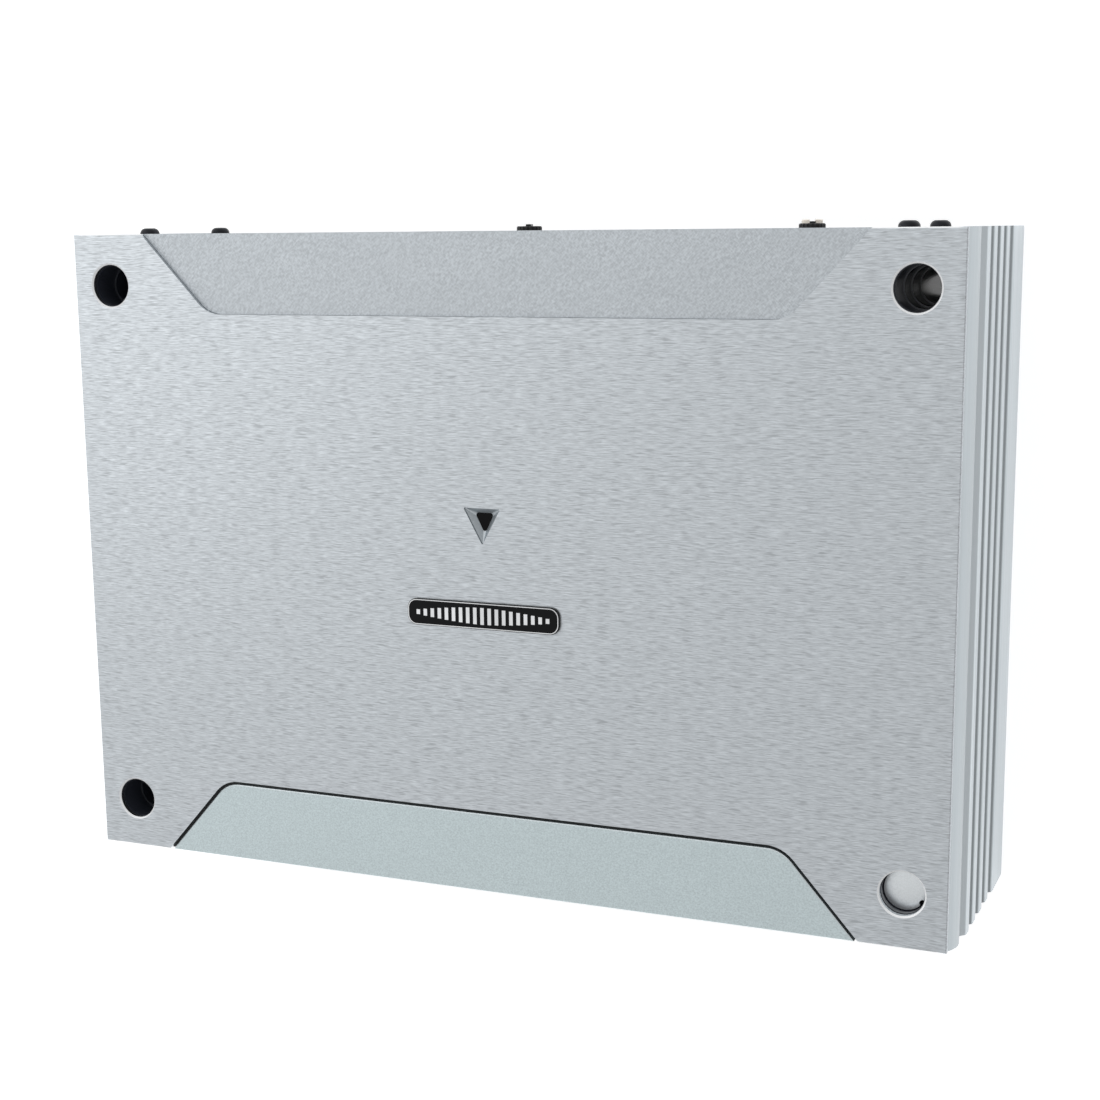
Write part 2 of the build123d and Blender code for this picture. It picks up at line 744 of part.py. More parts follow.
def make_knob(x):
    knob = rod_y(knob_radius, x, control_z, knob_back_y, knob_face_y)
    knob = chamfer(knob.edges().filter_by(GeomType.CIRCLE).sort_by(Axis.Y)[-1], 0.25)
    half = pointer_width / 2
    pointer = block(x - half, x + half, knob_face_y - 0.5, knob_face_y + pointer_height,
                    control_z - knob_radius + 0.5, control_z + knob_radius - 0.5)
    shaft = rod_y(knob_shaft_radius, x, control_z, 66.0, knob_back_y)
    knob = knob + pointer + shaft
    grips = []
    for index in range(18):
        angle = math.radians(index * 20)
        grip_x = x + knob_radius * math.sin(angle)
        grip_z = control_z + knob_radius * math.cos(angle)
        grips.append(rod_y(0.22, grip_x, grip_z, knob_back_y + 1.0, knob_face_y + 0.1))
    return knob_turned(cut_all(knob, grips), x)


def make_knob_cap(x):
    """Ivory inserts on a knob's face, one each side of its pointer."""
    cap = rod_y(cap_radius, x, control_z, knob_face_y + 0.01, knob_face_y + cap_height)
    cap = fillet(cap.edges().filter_by(GeomType.CIRCLE).sort_by(Axis.Y)[-1], 0.35)
    half = pointer_width / 2 + 0.05
    gap = block(x - half, x + half, knob_face_y - 1, knob_face_y + 2, control_z - 4, control_z + 4)
    return list(knob_turned(cap - gap, x).solids())


def lever_span(x):
    """X range that a lever sweeps, from its rest place to the end of its travel."""
    return x - lever_width / 2, x + lever_width / 2 + switch_travel


def make_switch_bodies():
    bodies = []
    for x in switch_xs.values():
        x_low, x_high = lever_span(x)
        body = block(x_low - 2.4, x_high + 2.4, 66.0, panel_inner_y - 0.1, 31.6, board_bottom - 0.05)
        slot_low, slot_high = control_z - lever_height / 2, control_z + lever_height / 2
        body = body - block(x_low - 0.3, x_high + 0.3, 73.0, panel_inner_y, slot_low - 0.15, slot_high + 0.15)
        bodies.append(body)
    return bodies


def make_lever(x):
    lever = block(x - lever_width / 2, x + lever_width / 2, 73.3, lever_tip_y,
                  control_z - lever_height / 2, control_z + lever_height / 2)
    lever = chamfer(lever.faces().sort_by(Axis.Y)[-1].edges(), 0.3)
    grooves = [block(x + step - 0.2, x + step + 0.2, lever_tip_y - 0.5, lever_tip_y + 1,
                     control_z - 2, control_z + 2) for step in (-0.9, 0, 0.9)]
    return cut_all(lever, grooves)


def control_windows():
    """Openings of the control end panel."""
    y_low, y_high = panel_inner_y - 1, panel_outer_y + 1
    windows = []
    for cavity, wall in ((rca_pocket, 1.5), (speaker_socket_cavity, 1.4), (remote_jack_cavity, 1.8)):
        x_low, x_high, _, z_low, _ = cavity
        grow = wall + 0.1
        windows.append(block(x_low - grow, x_high + grow, y_low, y_high, z_low - grow, board_bottom + 0.1))
    for x in knob_xs.values():
        windows.append(rod_y(knob_radius + 0.3, x, control_z, y_low, y_high))
    for x in switch_xs.values():
        x_low, x_high = lever_span(x)
        half = lever_height / 2 + 0.3
        windows.append(block(x_low - 0.4, x_high + 0.4, y_low, y_high, control_z - half, control_z + half))
    return windows


# ---------------------------------------------------------------- power end
def block_limits(pole_xs):
    xs = list(pole_xs.values())
    return min(xs) - pole_pitch / 2 - 0.6, max(xs) + pole_pitch / 2 + 0.6


def make_terminal_block(pole_xs):
    """Moulded block: one cell for each pole, with a wire entry in front and a driver hole on top."""
    x_low, x_high = block_limits(pole_xs)
    body = block(x_low, x_high, block_tip_y, block_back_y, block_low_z, block_top_z)
    body = chamfer(body.edges().filter_by(Axis.X).group_by(Axis.Y)[0], 0.8)
    body = body + block(x_low, x_high, block_back_y - 8, block_back_y, block_top_z, board_bottom - 0.05)
    tools = []
    half_cell = cell_width / 2
    half_entry = wire_entry_width / 2
    half_bar = bus_bar_half_width + 0.1
    riser_back_y = bus_riser_y + 0.1
    riser_front_y = bus_riser_y - bus_riser_thickness - 0.05
    for x in pole_xs.values():
        tools.append(block(x - half_cell, x + half_cell, block_wall_y, cell_back_y, cell_low_z, cell_top_z))
        tools.append(block(x - half_entry, x + half_entry, block_tip_y - 1, block_wall_y + 0.3,
                           wire_entry_low_z, wire_entry_top_z))
        tools.append(rod_z(terminal_head_radius + 0.1, x, pole_y, cell_top_z - 0.1, block_top_z + 1))
        tools.append(block(x - half_bar, x + half_bar, cell_back_y - 1, riser_back_y,
                           bus_bar_low_z - 0.05, bus_bar_top_z + 0.05))
        tools.append(block(x - half_bar, x + half_bar, riser_front_y, riser_back_y,
                           bus_bar_low_z, board_bottom + 1))
    return cut_all(body, tools)


def make_bus_bars():
    """Fixed conductors: each runs back from its cell and turns up to the board."""
    bars = []
    for x in list(power_pole_xs.values()) + list(speaker_pole_xs.values()):
        x_low, x_high = x - bus_bar_half_width, x + bus_bar_half_width
        flat = block(x_low, x_high, pole_y - cage_half_length, bus_riser_y, bus_bar_low_z, bus_bar_top_z)
        riser = block(x_low, x_high, bus_riser_y - bus_riser_thickness, bus_riser_y,
                      bus_bar_low_z, board_bottom - 0.05)
        bars.append(flat + riser)
    return bars


def make_terminal_screw(x):
    """Captive screw: it turns in place and its cage climbs along the thread."""
    head_low = cell_top_z + 0.05
    head = rod_z(terminal_head_radius, x, pole_y, head_low, head_low + terminal_head_height)
    head = chamfer(head.edges().filter_by(GeomType.CIRCLE).sort_by(Axis.Z)[-1], 0.3)
    head_top = head_low + terminal_head_height
    hexagon = Pos(x, pole_y) * RegularPolygon(hex_socket_flats / 2, 6, major_radius=False)
    shank = rod_z(terminal_screw_radius, x, pole_y, bus_bar_top_z + 0.2, head_low)
    return head + shank - prism(hexagon, head_top - 1.7, head_top + 1)


def make_cage(x):
    """Square wire clamp round the bus bar, drawn at its lowest, open place."""
    y_low, y_high = pole_y - cage_half_length, pole_y + cage_half_length
    half_window = cage_half_width - cage_side
    cage = block(x - cage_half_width, x + cage_half_width, y_low, y_high, cage_low_z, cage_high_z)
    cage = cage - block(x - half_window, x + half_window, y_low - 1, y_high + 1,
                        cage_low_z + cage_floor, cage_high_z - cage_roof)
    bore_radius = terminal_screw_radius + running_clearance
    return cage - rod_z(bore_radius, x, pole_y, cage_high_z - cage_roof - 1, cage_high_z + 1)


def make_fuse_holder():
    body = block(-13.0, 13.0, holder_face_y, -62.0, 21.0, board_bottom - 0.05)
    tools = []
    for z in fuse_zs.values():
        half_width, half_thick = fuse_width / 2 + 0.25, fuse_thickness / 2 + 0.2
        tools.append(block(-half_width, half_width, holder_face_y - 1, fuse_seat_y + 0.1,
                           z - half_thick, z + half_thick))
        for side in (-1, 1):
            x_low, x_high = sorted((side * 1.9, side * 7.5))
            tools.append(block(x_low, x_high, fuse_seat_y - 1, fuse_blade_end_y + 1, z - 0.5, z + 0.5))
    return cut_all(body, tools)


def make_fuse(z):
    """Blade fuse: a wide grip with two test slots, a narrower seat and two blades."""
    half_width, half_thick = fuse_width / 2, fuse_thickness / 2
    body = block(-half_width, half_width, fuse_tip_y, fuse_tip_y + 3.2, z - half_thick, z + half_thick)
    body = body + block(-half_width + 1.2, half_width - 1.2, fuse_tip_y + 3.2, fuse_seat_y,
                        z - half_thick + 0.6, z + half_thick - 0.6)
    body = chamfer(body.faces().sort_by(Axis.Y)[0].edges(), 0.4)
    for side in (-1, 1):
        x_low, x_high = sorted((side * 2.1, side * 7.3))
        body = body + block(x_low, x_high, fuse_seat_y, fuse_blade_end_y, z - 0.35, z + 0.35)
        x_low, x_high = sorted((side * 4.4, side * 6.8))
        body = body - block(x_low, x_high, fuse_tip_y - 1, fuse_tip_y + 1.0, z - 0.6, z + 0.6)
    return body


def power_windows():
    """Openings of the power end panel."""
    y_low, y_high = -panel_outer_y - 1, -panel_inner_y + 1
    windows = []
    for pole_xs in (power_pole_xs, speaker_pole_xs):
        x_low, x_high = block_limits(pole_xs)
        windows.append(block(x_low - 0.1, x_high + 0.1, y_low, y_high, block_low_z - 0.1, block_top_z + 0.1))
    windows.append(block(-13.1, 13.1, y_low, y_high, 20.9, board_bottom + 0.1))
    return windows


# ---------------------------------------------------------------- all nodes
def build_nodes():
    ring = ("x", "y", "z", "inner", "outer", "height")
    transformer_size = [transformer[key] for key in ring]
    choke_size = [choke[key] for key in ring]
    nodes = {
        "heatsink_chassis": make_heatsink(),
        "face_adhesive_sheet": make_adhesive_sheet(),
        "brushed_face_plate": make_face_plate(),
        "control_end_inlay": make_upper_inlay(),
        "power_end_inlay": make_lower_inlay(),
        "badge_plate": make_badge(),
        "indicator_bezel": make_bezel(),
        "indicator_window": make_window(),
        "indicator_light_pipe": make_light_pipe(),
        "control_end_panel": make_end_panel(1, control_windows()),
        "power_end_panel": make_end_panel(-1, power_windows()),
        "end_panel_screws": make_panel_screws(),
        "bottom_cover": make_bottom_cover(),
        "bottom_cover_screws": make_cover_screws(),
        "screw_guide_sleeves": make_sleeves(),
        "sleeve_plug": make_sleeve_plug(),
        "main_circuit_board": make_board(),
        "board_standoffs": make_standoffs(),
        "board_screws": make_board_screws(),
        "transformer_core": ring_core(*transformer_size),
        "transformer_winding": ring_winding(*transformer_size, 1.6, 50),
        "output_choke_core": ring_core(*choke_size),
        "output_choke_winding": ring_winding(*choke_size, 1.4, 40),
        "electrolytic_capacitors": make_capacitors(),
        "supply_transistors": make_devices(-1),
        "output_transistors": make_devices(1),
        "insulator_pads": make_pads(),
        "transistor_clamp_bars": make_clamp_bars(),
        "clamp_bar_screws": make_clamp_screws(),
        "board_chips": make_chips(),
        "rca_block": make_rca_block(),
        "rca_collars": make_rca_collars(),
        "rca_insulators": make_rca_insulators(),
        "rca_centre_contacts": make_rca_contacts(),
        "speaker_level_socket": make_speaker_socket(),
        "speaker_level_pins": make_speaker_pins(),
        "remote_level_jack": make_remote_jack(),
        "control_pots": make_pots(),
        "slide_switch_bodies": make_switch_bodies(),
        "power_terminal_block": make_terminal_block(power_pole_xs),
        "speaker_terminal_block": make_terminal_block(speaker_pole_xs),
        "terminal_bus_bars": make_bus_bars(),
        "fuse_holder": make_fuse_holder(),
    }
    for name, x in knob_xs.items():
        nodes[name] = make_knob(x)
    nodes["filter_knob_cap"] = make_knob_cap(knob_xs["filter_knob"])
    for name, x in switch_xs.items():
        nodes[name] = make_lever(x)
    for pole, x in {**power_pole_xs, **speaker_pole_xs}.items():
        nodes[pole + "_screw"] = make_terminal_screw(x)
        nodes[pole + "_cage"] = make_cage(x)
    for name, z in fuse_zs.items():
        nodes[name] = make_fuse(z)
    return nodes


os.makedirs("parts", exist_ok=True)
for node_name, shape in build_nodes().items():
    if isinstance(shape, list):
        shape = Compound(children=shape)
    export_step(shape, os.path.join("parts", node_name + ".step"))
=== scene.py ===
"""Looks of the car amplifier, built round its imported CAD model.

Lengths in this file are in millimetres and turn into metres where they reach Blender. Only the lamps
and the floor are placed in metres.
"""

import math

import bmesh
import bpy
from mathutils import Matrix, Vector


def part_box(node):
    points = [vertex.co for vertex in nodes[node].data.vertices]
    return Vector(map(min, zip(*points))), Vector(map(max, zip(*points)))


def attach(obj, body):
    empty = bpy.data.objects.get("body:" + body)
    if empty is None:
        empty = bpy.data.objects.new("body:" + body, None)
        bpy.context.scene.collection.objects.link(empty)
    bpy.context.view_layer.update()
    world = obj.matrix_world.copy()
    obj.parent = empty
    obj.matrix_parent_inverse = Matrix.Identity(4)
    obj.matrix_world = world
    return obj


MM = 0.001
PRINT_HEIGHT = 0.03  # a print stands this far out of its surface, and as far into it
COAT_ROUGHNESS = 0.1
KNOB_RADIUS = 3.1
KNOB_REST_ANGLE = 18.0  # of both pointers, from straight up towards +X
KNOB_SWEEP = 280.0
SWITCH_TRAVEL = 4.0
FLANGE_HEEL_Z = (49.0, 50.5)  # the heatsink's side flange ends between these heights
STEP_LOW_Z = 45.6  # lower end of the step under that flange
FACE_EDGE_X = (113.0, 114.0)  # beyond these the face plate's bevel is its outer edge
RING_MIDDLE_X = -29.0  # halfway between the two line inputs
FUSE_SEAT_Y = (-76.3, -76.2)  # the fuses' bodies end and their blades begin here
DEVICE_TOP_Z = (39.05, 39.1)  # the transistors' bodies end and their legs begin here
GROUP_HEIGHT = 23.0  # of the printed frames round the controls

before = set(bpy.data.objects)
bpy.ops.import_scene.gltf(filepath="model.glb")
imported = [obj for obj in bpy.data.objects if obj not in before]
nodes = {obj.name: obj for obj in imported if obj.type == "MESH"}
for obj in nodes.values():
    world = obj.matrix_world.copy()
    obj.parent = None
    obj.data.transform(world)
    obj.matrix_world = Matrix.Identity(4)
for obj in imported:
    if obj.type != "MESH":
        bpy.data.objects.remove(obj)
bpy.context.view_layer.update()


def box_mm(node):
    """Lowest and highest corner of a CAD node, in millimetres."""
    low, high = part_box(node)
    return low / MM, high / MM


def srgb(red, green, blue):
    """Linear colour from 0-255 screen values."""
    linear = []
    for value in (red, green, blue):
        value = value / 255
        linear.append(value / 12.92 if value <= 0.04045 else ((value + 0.055) / 1.055) ** 2.4)
    return (*linear, 1.0)


# ---------------------------------------------------------------- surfaces
class Surface:
    """A procedural material. Its patterns read object coordinates, so they move with the piece."""

    def __init__(self, name, colour, roughness, metallic=0.0, coat=0.0, specular=0.5, transmission=0.0):
        self.material = bpy.data.materials.new(name)
        self.material.use_nodes = True
        self.tree = self.material.node_tree
        self.shader = self.tree.nodes["Principled BSDF"]
        self.coords = self.tree.nodes.new("ShaderNodeTexCoord")
        self.last_normal = None
        self.set("Base Color", colour)
        self.set("Roughness", roughness)
        self.set("Metallic", metallic)
        self.set("Coat Weight", coat)
        self.set("Coat Roughness", COAT_ROUGHNESS)
        self.set("Specular IOR Level", specular)
        self.set("Transmission Weight", transmission)
        self.material.diffuse_color = colour

    def set(self, socket, value):
        self.shader.inputs[socket].default_value = value

    def link(self, source, target):
        self.tree.links.new(source, target)

    def feed(self, socket, value):
        """Give an input a number, a colour or another node's output."""
        if isinstance(value, bpy.types.NodeSocket):
            self.link(value, socket)
        else:
            socket.default_value = value

    def noise(self, period, detail=2.0, roughness=0.5, shift=0.0, vector=None, output="Fac"):
        """Noise whose blobs are about period millimetres in x, y and z."""
        mapping = self.tree.nodes.new("ShaderNodeMapping")
        mapping.inputs["Scale"].default_value = [1 / (step * MM) for step in period]
        mapping.inputs["Location"].default_value = (shift, 2 * shift, 3 * shift)
        self.link(vector or self.coords.outputs["Object"], mapping.inputs["Vector"])
        texture = self.tree.nodes.new("ShaderNodeTexNoise")
        texture.inputs["Scale"].default_value = 1.0
        texture.inputs["Detail"].default_value = detail
        texture.inputs["Roughness"].default_value = roughness
        self.link(mapping.outputs["Vector"], texture.inputs["Vector"])
        return texture.outputs[output]

    def wandering(self, period, sway):
        """Object coordinates pushed about by sway millimetres, so that straight strokes wander."""
        push = self.noise(period, detail=2.0, shift=11.0, output="Color")
        add = self.tree.nodes.new("ShaderNodeVectorMath")
        add.operation = "MULTIPLY_ADD"
        self.link(push, add.inputs[0])
        add.inputs[1].default_value = [distance * MM for distance in sway]
        self.link(self.coords.outputs["Object"], add.inputs[2])
        return add.outputs["Vector"]

    def turned(self, degrees):
        """Object coordinates turned about Z."""
        turn = self.tree.nodes.new("ShaderNodeVectorRotate")
        turn.rotation_type = "Z_AXIS"
        self.link(self.coords.outputs["Object"], turn.inputs["Vector"])
        turn.inputs["Angle"].default_value = math.radians(degrees)
        return turn.outputs["Vector"]

    def cells(self, period):
        """Cell pattern: distance to the nearest of points about period millimetres apart."""
        mapping = self.tree.nodes.new("ShaderNodeMapping")
        mapping.inputs["Scale"].default_value = [1 / (step * MM) for step in period]
        self.link(self.coords.outputs["Object"], mapping.inputs["Vector"])
        texture = self.tree.nodes.new("ShaderNodeTexVoronoi")
        texture.inputs["Scale"].default_value = 1.0
        self.link(mapping.outputs["Vector"], texture.inputs["Vector"])
        return texture.outputs["Distance"]

    def place(self, axis, source="Object"):
        """One coordinate in millimetres, or one part of the surface's direction with source Normal."""
        split = self.tree.nodes.new("ShaderNodeSeparateXYZ")
        self.link(self.coords.outputs[source], split.inputs[0])
        if source == "Normal":
            return split.outputs[axis]
        return self.maths("MULTIPLY", split.outputs[axis], 1 / MM)

    def maths(self, operation, first, second=0.0, third=0.0):
        node = self.tree.nodes.new("ShaderNodeMath")
        node.operation = operation
        for socket, value in zip(node.inputs, (first, second, third)):
            self.feed(socket, value)
        return node.outputs[0]

    def span(self, value, low, high, to_low=0.0, to_high=1.0):
        """Stretch a value from one range to another, held at its ends."""
        node = self.tree.nodes.new("ShaderNodeMapRange")
        for socket, number in zip(node.inputs, (value, low, high, to_low, to_high)):
            self.feed(socket, number)
        return node.outputs["Result"]

    def slanted(self):
        """1 on narrow bevels, whose direction lies between flat and upright; 0 elsewhere."""
        upright = self.maths("ABSOLUTE", self.place("Z", "Normal"))
        off_bevel = self.maths("ABSOLUTE", self.maths("SUBTRACT", upright, 0.7))
        return self.span(off_bevel, 0.1, 0.22, 1.0, 0.0)

    def blend(self, factor, first, second):
        """The first colour at factor 0, the second at factor 1."""
        node = self.tree.nodes.new("ShaderNodeMix")
        node.data_type = "RGBA"
        self.feed(node.inputs["Factor"], factor)
        self.feed(node.inputs["A"], first)
        self.feed(node.inputs["B"], second)
        return node.outputs["Result"]

    def colour(self, value):
        self.feed(self.shader.inputs["Base Color"], value)

    def rough(self, value):
        self.feed(self.shader.inputs["Roughness"], value)

    def metal(self, value):
        self.feed(self.shader.inputs["Metallic"], value)

    def bump(self, height, depth, strength=1.0):
        """Relief of depth millimetres. Several calls add up."""
        node = self.tree.nodes.new("ShaderNodeBump")
        node.inputs["Strength"].default_value = strength
        node.inputs["Distance"].default_value = depth * MM
        self.feed(node.inputs["Height"], height)
        if self.last_normal is not None:
            self.link(self.last_normal, node.inputs["Normal"])
        self.last_normal = node.outputs["Normal"]
        self.feed(self.shader.inputs["Normal"], self.last_normal)


def shade(colour, factor):
    """A colour made lighter or darker."""
    return (*[min(1.0, channel * factor) for channel in colour[:3]], 1.0)


def brushed_face():
    """Aluminium brushed along X: short wandering strokes, a few long dark scratches, and a painted
    highlight on the cut edges.
    """
    base = srgb(207, 212, 216)
    surface = Surface("brushed_aluminium", base, 0.34, metallic=1.0)
    path = surface.wandering((14.0, 5.0, 5.0), (0.0, 1.0, 0.0))
    strokes = surface.noise((3.0, 0.24, 0.24), detail=3.0, roughness=0.6, vector=path)
    runs = surface.noise((7.0, 0.5, 0.5), detail=3.0, roughness=0.6, shift=3.1, vector=path)
    nicks = surface.noise((4.2, 0.34, 0.34), detail=1.5, shift=6.2, vector=path)
    drift = surface.noise((160.0, 90.0, 90.0), detail=1.0, shift=7.7)
    grain = surface.maths("MULTIPLY_ADD", runs, 0.2, surface.maths("MULTIPLY", strokes, 0.8))
    streaked = surface.blend(surface.span(grain, 0.35, 0.65), shade(base, 0.74), shade(base, 1.2))
    streaked = surface.blend(surface.span(nicks, 0.58, 0.68, 0.0, 0.75), streaked, shade(base, 0.62))
    streaked = surface.blend(surface.span(drift, 0.35, 0.65, 0.0, 0.1), streaked, shade(base, 0.85))
    # Painted highlight: bevels inside the outer edge get a near-white colour and little metal, so they stay
    # bright from every side.
    inside = surface.span(surface.maths("ABSOLUTE", surface.place("X")), *FACE_EDGE_X, 1.0, 0.0)
    cut_edge_highlight = surface.maths("MULTIPLY", surface.slanted(), inside)
    surface.colour(surface.blend(cut_edge_highlight, streaked, srgb(250, 251, 252)))
    surface.metal(surface.span(cut_edge_highlight, 0.0, 1.0, 1.0, 0.1))
    surface.rough(surface.span(grain, 0.3, 0.7, 0.42, 0.28))
    surface.bump(grain, 0.012, 0.5)
    return surface


def satin_inlay():
    """Aluminium with a fine crossed satin grain at 45 degrees."""
    base = srgb(195, 200, 204)
    surface = Surface("satin_aluminium", base, 0.5, metallic=1.0)
    rising = surface.noise((0.9, 0.26, 0.26), detail=1.0, vector=surface.turned(45))
    falling = surface.noise((0.9, 0.26, 0.26), detail=1.0, shift=2.9, vector=surface.turned(-45))
    sand = surface.maths("MULTIPLY", surface.maths("ADD", rising, falling), 0.5)
    cloud = surface.noise((22.0, 9.0, 9.0), detail=2.0, shift=1.9)
    mottled = surface.blend(surface.span(sand, 0.38, 0.62), shade(base, 0.86), shade(base, 1.12))
    surface.colour(surface.blend(surface.span(cloud, 0.35, 0.65, 0.0, 0.14), mottled, shade(base, 0.88)))
    surface.rough(surface.span(sand, 0.35, 0.65, 0.56, 0.44))
    surface.bump(sand, 0.02, 0.6)
    return surface


def lower_inlay():
    """Finer, slightly green anodised aluminium, with a painted highlight on its cut edges."""
    base = srgb(206, 218, 220)
    surface = Surface("anodised_inlay", base, 0.42, metallic=1.0)
    fine = surface.noise((0.45, 0.4, 0.4), detail=3.0, roughness=0.7)
    cloud = surface.noise((30.0, 12.0, 12.0), detail=1.0, shift=4.4)
    mottled = surface.blend(surface.span(fine, 0.34, 0.66), shade(base, 0.86), shade(base, 1.12))
    mottled = surface.blend(surface.span(cloud, 0.35, 0.65, 0.0, 0.08), mottled, shade(base, 0.9))
    # Painted highlight: the bevels get a lighter colour.
    surface.colour(surface.blend(surface.slanted(), mottled, srgb(226, 233, 235)))
    surface.rough(surface.span(fine, 0.3, 0.7, 0.46, 0.38))
    surface.bump(fine, 0.01, 0.5)
    return surface


def extruded_body():
    """Anodised extrusion: die lines along the profile, painted shade on the flange and on the ledges under
    it, and painted light on the step under the flange.
    """
    base = srgb(198, 205, 209)
    surface = Surface("anodised_extrusion", base, 0.4, metallic=1.0)
    lines = surface.noise((0.35, 60.0, 0.35), detail=3.0, roughness=0.6)
    fine = surface.noise((0.4, 0.4, 0.4), detail=2.0, shift=5.0)
    streaks_and_shade = surface.blend(surface.span(lines, 0.32, 0.68), shade(base, 0.9), shade(base, 1.07))
    streaks_and_shade = surface.blend(surface.span(fine, 0.3, 0.7, 0.0, 0.16), streaks_and_shade, shade(base, 0.8))
    upwards = surface.span(surface.maths("ABSOLUTE", surface.place("Z", "Normal")), 0.25, 0.6)
    height = surface.place("Z")
    below_flange = surface.span(height, *FLANGE_HEEL_Z, 1.0, 0.0)
    # Painted shade: below the flange heel, faces that look up or down (the ledges in the grooves) are
    # darkened, as if the ribs above shaded them.
    ledge_shade = surface.maths("MULTIPLY", upwards, below_flange)
    # Painted shade: above the flange heel, on the flange itself, the colour is darkened.
    streaks_and_shade = surface.blend(surface.span(below_flange, 0.0, 1.0, 0.85, 0.0), streaks_and_shade, shade(base, 0.78))
    streaks_and_shade = surface.blend(surface.maths("MULTIPLY", ledge_shade, 0.6), streaks_and_shade, shade(base, 0.42))
    # Painted light: the band just under the flange heel, the step that the flange shades, is lightened.
    step = surface.maths("MULTIPLY", surface.span(height, STEP_LOW_Z, STEP_LOW_Z + 0.5), below_flange)
    surface.colour(surface.blend(surface.maths("MULTIPLY", step, 0.38), streaks_and_shade, srgb(226, 233, 237)))
    surface.rough(surface.span(lines, 0.3, 0.7, 0.46, 0.34))
    surface.bump(lines, 0.015, 0.45)
    surface.bump(fine, 0.006, 0.3)
    return surface


def moulded(name, colour, roughness, grain=0.35, depth=0.012, coat=0.0, specular=0.5):
    """Moulded plastic with a fine spark-eroded grain and slight flow marks."""
    surface = Surface(name, colour, roughness, coat=coat, specular=specular)
    pores = surface.noise((grain, grain, grain), detail=3.0, roughness=0.6)
    flow = surface.noise((12.0, 12.0, 5.0), detail=2.0, shift=2.3)
    mottled = surface.blend(surface.span(flow, 0.35, 0.65), shade(colour, 0.88), shade(colour, 1.15))
    surface.colour(mottled)
    surface.rough(surface.span(pores, 0.3, 0.7, roughness + 0.06, roughness - 0.05))
    surface.bump(pores, depth, 0.5)
    return surface


def plated(name, colour, roughness, scratch=(0.25, 0.25, 3.0)):
    """Plated metal with light turning or handling marks."""
    surface = Surface(name, colour, roughness, metallic=1.0)
    marks = surface.noise(scratch, detail=3.0, roughness=0.6)
    stain = surface.noise((6.0, 6.0, 6.0), detail=2.0, shift=8.1)
    mottled = surface.blend(surface.span(stain, 0.35, 0.65), shade(colour, 0.86), shade(colour, 1.08))
    surface.colour(mottled)
    surface.rough(surface.span(marks, 0.3, 0.7, roughness + 0.08, roughness - 0.06))
    surface.bump(marks, 0.008, 0.4)
    return surface


def powder_coat():
    base = srgb(30, 31, 33)
    surface = Surface("powder_coated_steel", base, 0.55, specular=0.45)
    peel = surface.noise((0.7, 0.7, 0.7), detail=3.0, roughness=0.55)
    specks = surface.noise((0.2, 0.2, 0.2), detail=1.0, shift=3.7)
    surface.colour(surface.blend(surface.span(specks, 0.55, 0.7), base, srgb(44, 45, 48)))
    surface.rough(surface.span(peel, 0.3, 0.7, 0.62, 0.48))
    surface.bump(peel, 0.03, 0.6)
    return surface


def zinc_sheet():
    base = srgb(178, 181, 180)
    surface = Surface("zinc_coated_steel", base, 0.42, metallic=1.0)
    spangle = surface.cells((7.0, 7.0, 7.0))
    grain = surface.noise((0.6, 5.0, 0.6), detail=3.0, roughness=0.6)
    tone = surface.blend(surface.span(spangle, 0.1, 0.8), shade(base, 1.12), shade(base, 0.8))
    surface.colour(surface.blend(surface.span(grain, 0.35, 0.65, 0.0, 0.3), tone, srgb(160, 158, 146)))
    surface.rough(surface.span(spangle, 0.1, 0.8, 0.34, 0.52))
    surface.bump(grain, 0.01, 0.4)
    return surface


def circuit_board():
    mask = srgb(18, 74, 44)
    surface = Surface("green_solder_mask", mask, 0.32, coat=0.5)
    grid = surface.tree.nodes.new("ShaderNodeTexBrick")
    grid.inputs["Scale"].default_value = 1 / (9.0 * MM)
    grid.inputs["Mortar Size"].default_value = 0.03
    grid.inputs["Color1"].default_value = (1.0, 1.0, 1.0, 1.0)
    grid.inputs["Color2"].default_value = (0.8, 0.8, 0.8, 1.0)
    grid.inputs["Mortar"].default_value = (0.0, 0.0, 0.0, 1.0)
    surface.link(surface.coords.outputs["Object"], grid.inputs["Vector"])
    tracks = grid.outputs["Fac"]
    pours = surface.span(surface.noise((18.0, 18.0, 18.0), detail=1.0), 0.48, 0.5)
    tone = surface.blend(pours, mask, srgb(26, 96, 58))
    surface.colour(surface.blend(tracks, tone, srgb(36, 112, 68)))
    surface.bump(surface.maths("MAXIMUM", pours, tracks), 0.035, 0.7)
    return surface


def red_and_white_rings():
    """Line-input insulators: the left one white, the right one red."""
    surface = moulded("ring_plastic", srgb(226, 226, 220), 0.38, depth=0.006)
    right_side = surface.span(surface.place("X"), RING_MIDDLE_X - 0.1, RING_MIDDLE_X + 0.1)
    surface.colour(surface.blend(right_side, srgb(226, 226, 220), srgb(176, 26, 28)))
    return surface


def copper_winding():
    surface = Surface("enamelled_copper", srgb(168, 84, 46), 0.28, metallic=1.0, coat=0.4)
    tone = surface.noise((3.0, 3.0, 3.0), detail=2.0)
    surface.colour(surface.blend(surface.span(tone, 0.3, 0.7), srgb(146, 66, 34), srgb(196, 108, 62)))
    return surface


